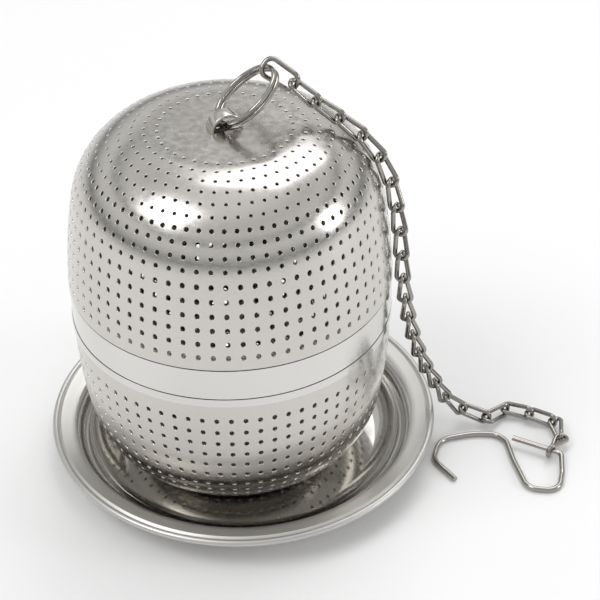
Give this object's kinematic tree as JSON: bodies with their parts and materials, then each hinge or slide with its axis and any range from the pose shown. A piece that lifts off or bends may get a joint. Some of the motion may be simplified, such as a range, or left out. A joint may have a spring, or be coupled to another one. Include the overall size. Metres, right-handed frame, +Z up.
{
  "type": "tea infuser",
  "caption": "Perforated steel tea infuser: screw-together basket and lid with a plain band, standing in a drip saucer, with a split ring, link chain and wire hook.",
  "frame": {"origin": "centre of the underside of the saucer's foot, where the object stands", "axes": "+Z up, +X towards the side where the chain falls"},
  "size_m": [0.0878, 0.065, 0.0708],
  "materials": {
    "satin_steel": "satin ledge and polished well",
    "polished_steel": "mirror polished, stainless",
    "wire_steel": "polished round wire",
    "chain_steel": "bright plated wire"
  },
  "bodies": {
    "saucer": {"saucer": "satin_steel"},
    "basket": {"basket_shell": "polished_steel", "basket_neck": "polished_steel"},
    "lip": {"lip_ring": "polished_steel"},
    "lid": {"lid_shell": "polished_steel", "lid_collar": "polished_steel"},
    "ring": {"split_ring": "wire_steel"},
    "link_01": {"link_01": "chain_steel"},
    "link_02": {"link_02": "chain_steel"},
    "link_03": {"link_03": "chain_steel"},
    "link_04": {"link_04": "chain_steel"},
    "link_05": {"link_05": "chain_steel"},
    "link_06": {"link_06": "chain_steel"},
    "link_07": {"link_07": "chain_steel"},
    "link_08": {"link_08": "chain_steel"},
    "link_09": {"link_09": "chain_steel"},
    "link_10": {"link_10": "chain_steel"},
    "link_11": {"link_11": "chain_steel"},
    "link_12": {"link_12": "chain_steel"},
    "link_13": {"link_13": "chain_steel"},
    "link_14": {"link_14": "chain_steel"},
    "link_15": {"link_15": "chain_steel"},
    "link_16": {"link_16": "chain_steel"},
    "link_17": {"link_17": "chain_steel"},
    "link_18": {"link_18": "chain_steel"},
    "link_19": {"link_19": "chain_steel"},
    "link_20": {"link_20": "chain_steel"},
    "link_21": {"link_21": "chain_steel"},
    "link_22": {"link_22": "chain_steel"},
    "link_23": {"link_23": "chain_steel"},
    "link_24": {"link_24": "chain_steel"},
    "hook": {"hook": "wire_steel"}
  },
  "joints": [
    {"name": "basket_lift", "type": "slide", "parent": "saucer", "child": "basket", "axis": [0, 0, 1], "range_m": [0, 0.08]},
    {"name": "lid_turn", "type": "hinge", "parent": "basket", "child": "lip", "pos_m": [-0.0012, 0, 0], "axis": [0, 0, 1], "range_deg": [0, 360]},
    {"name": "lid_rise", "type": "slide", "parent": "lip", "child": "lid", "axis": [0, 0, 1], "range_m": [0, 0.003]},
    {"name": "ring_swing", "type": "hinge", "parent": "lid", "child": "ring", "pos_m": [-0.0016, -0.0001, 0.06275], "axis": [0.3502, -0.9367, 0], "range_deg": [0, 80]},
    {"name": "link_01_swing", "type": "hinge", "parent": "ring", "child": "link_01", "pos_m": [0.00625, 0.00432, 0.06906], "axis": [0.3125, -0.9156, 0.2531], "range_deg": [0, 10]},
    {"name": "link_02_lift", "type": "hinge", "parent": "link_01", "child": "link_02", "pos_m": [0.00904, 0.00327, 0.06739], "axis": [-0.3515, -0.9362, -0.0012], "range_deg": [0, 6]},
    {"name": "link_03_lift", "type": "hinge", "parent": "link_02", "child": "link_03", "pos_m": [0.01235, 0.002, 0.06478], "axis": [-0.3272, -0.9449, -0.0127], "range_deg": [0, 6]},
    {"name": "link_04_lift", "type": "hinge", "parent": "link_03", "child": "link_04", "pos_m": [0.0159, 0.0008, 0.06248], "axis": [-0.3242, -0.9459, -0.0109], "range_deg": [0, 6]},
    {"name": "link_05_lift", "type": "hinge", "parent": "link_04", "child": "link_05", "pos_m": [0.01933, -0.00028, 0.05994], "axis": [-0.3769, -0.9257, 0.0319], "range_deg": [0, 6]},
    {"name": "link_06_lift", "type": "hinge", "parent": "link_05", "child": "link_06", "pos_m": [0.02214, -0.00142, 0.05674], "axis": [-0.4525, -0.8872, 0.0903], "range_deg": [0, 6]},
    {"name": "link_07_lift", "type": "hinge", "parent": "link_06", "child": "link_07", "pos_m": [0.02391, -0.00271, 0.05292], "axis": [-0.4984, -0.8647, 0.0627], "range_deg": [0, 6]},
    {"name": "link_08_lift", "type": "hinge", "parent": "link_07", "child": "link_08", "pos_m": [0.02477, -0.00362, 0.0487], "axis": [-0.4606, -0.8874, -0.0193], "range_deg": [0, 6]},
    {"name": "link_09_lift", "type": "hinge", "parent": "link_08", "child": "link_09", "pos_m": [0.02545, -0.00379, 0.04435], "axis": [-0.5479, -0.8353, 0.0451], "range_deg": [0, 6]},
    {"name": "link_10_lift", "type": "hinge", "parent": "link_09", "child": "link_10", "pos_m": [0.02572, -0.00427, 0.03998], "axis": [-0.5177, -0.8555, -0.0115], "range_deg": [0, 6]},
    {"name": "link_11_lift", "type": "hinge", "parent": "link_10", "child": "link_11", "pos_m": [0.02602, -0.00456, 0.03559], "axis": [-0.3205, -0.9383, -0.1297], "range_deg": [0, 6]},
    {"name": "link_12_lift", "type": "hinge", "parent": "link_11", "child": "link_12", "pos_m": [0.02659, -0.00421, 0.03124], "axis": [-0.124, -0.9776, -0.1701], "range_deg": [0, 6]},
    {"name": "link_13_lift", "type": "hinge", "parent": "link_12", "child": "link_13", "pos_m": [0.0273, -0.00355, 0.02695], "axis": [0.0106, -0.99, -0.1405], "range_deg": [0, 6]},
    {"name": "link_14_lift", "type": "hinge", "parent": "link_13", "child": "link_14", "pos_m": [0.02824, -0.00293, 0.02269], "axis": [0.1024, -0.9881, -0.1148], "range_deg": [0, 6]},
    {"name": "link_15_lift", "type": "hinge", "parent": "link_14", "child": "link_15", "pos_m": [0.02942, -0.00232, 0.0185], "axis": [0.1675, -0.981, -0.0976], "range_deg": [0, 6]},
    {"name": "link_16_lift", "type": "hinge", "parent": "link_15", "child": "link_16", "pos_m": [0.03087, -0.00167, 0.0144], "axis": [0.2128, -0.9735, -0.0833], "range_deg": [0, 6]},
    {"name": "link_17_lift", "type": "hinge", "parent": "link_16", "child": "link_17", "pos_m": [0.03265, -0.00092, 0.01044], "axis": [0.2302, -0.9717, -0.0527], "range_deg": [0, 6]},
    {"name": "link_18_lift", "type": "hinge", "parent": "link_17", "child": "link_18", "pos_m": [0.0345, -0.00015, 0.00652], "axis": [0.138, -0.9899, 0.0312], "range_deg": [0, 6]},
    {"name": "link_19_lift", "type": "hinge", "parent": "link_18", "child": "link_19", "pos_m": [0.03747, 0.0004, 0.00327], "axis": [-0.2419, -0.9703, 0], "range_deg": [0, 6]},
    {"name": "link_20_sway", "type": "hinge", "parent": "link_19", "child": "link_20", "pos_m": [0.0424, -0.00083, 0.00148], "axis": [-0.3233, 0.0806, -0.9428], "range_deg": [0, 30]},
    {"name": "link_21_sway", "type": "hinge", "parent": "link_20", "child": "link_21", "pos_m": [0.04606, 0.00165, 0.00148], "axis": [0.0348, 0.0234, 0.9991], "range_deg": [0, 30]},
    {"name": "link_22_sway", "type": "hinge", "parent": "link_21", "child": "link_22", "pos_m": [0.05008, -0.00014, 0.00148], "axis": [0.0037, -0.0017, 1], "range_deg": [0, 8]},
    {"name": "link_23_sway", "type": "hinge", "parent": "link_22", "child": "link_23", "pos_m": [0.05373, -0.0026, 0.00148], "axis": [0.0006, -0.0004, 1], "range_deg": [0, 30]},
    {"name": "link_24_sway", "type": "hinge", "parent": "link_23", "child": "link_24", "pos_m": [0.05388, -0.007, 0.00148], "axis": [0, -0.0001, 1], "range_deg": [0, 30]},
    {"name": "hook_sway", "type": "hinge", "parent": "link_24", "child": "hook", "pos_m": [0.05106, -0.01037, 0.00148], "axis": [0, 0, 1], "range_deg": [0, 15]}
  ],
  "couplings": [
    {"joint": "lid_rise", "follows": "lid_turn", "m_per_rad": 0.00047746}
  ]
}
